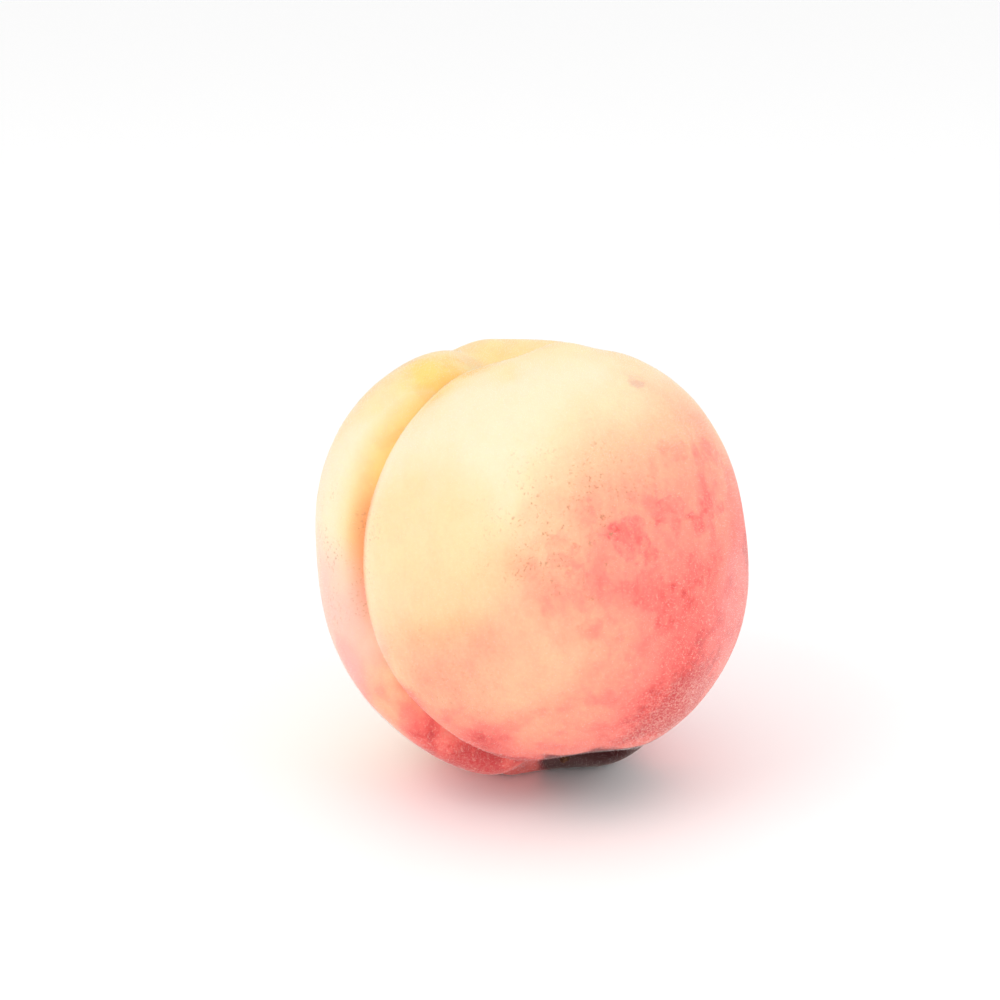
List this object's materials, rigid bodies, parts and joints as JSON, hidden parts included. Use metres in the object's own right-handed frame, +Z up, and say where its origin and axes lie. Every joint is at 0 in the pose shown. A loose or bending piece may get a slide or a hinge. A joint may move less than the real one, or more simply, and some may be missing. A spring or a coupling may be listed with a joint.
{
  "type": "peach",
  "caption": "Whole peach with a deep seam between unequal lobes, a stem cavity and a dry blossom tip, resting on a small flat spot.",
  "frame": {"origin": "on the surface that the fruit rests on, under the middle of its outline", "axes": "+Z up from the surface; the stem end leans back towards +Y, the blossom end faces down and towards -Y, and the seam runs down the -X side"},
  "size_m": [0.0748, 0.0796, 0.078],
  "materials": {
    "peach_skin": "velvety fruit skin with short pale fuzz, cream-yellow blushed with pink and red"
  },
  "bodies": {
    "root": {"peach": "peach_skin"}
  },
  "joints": []
}
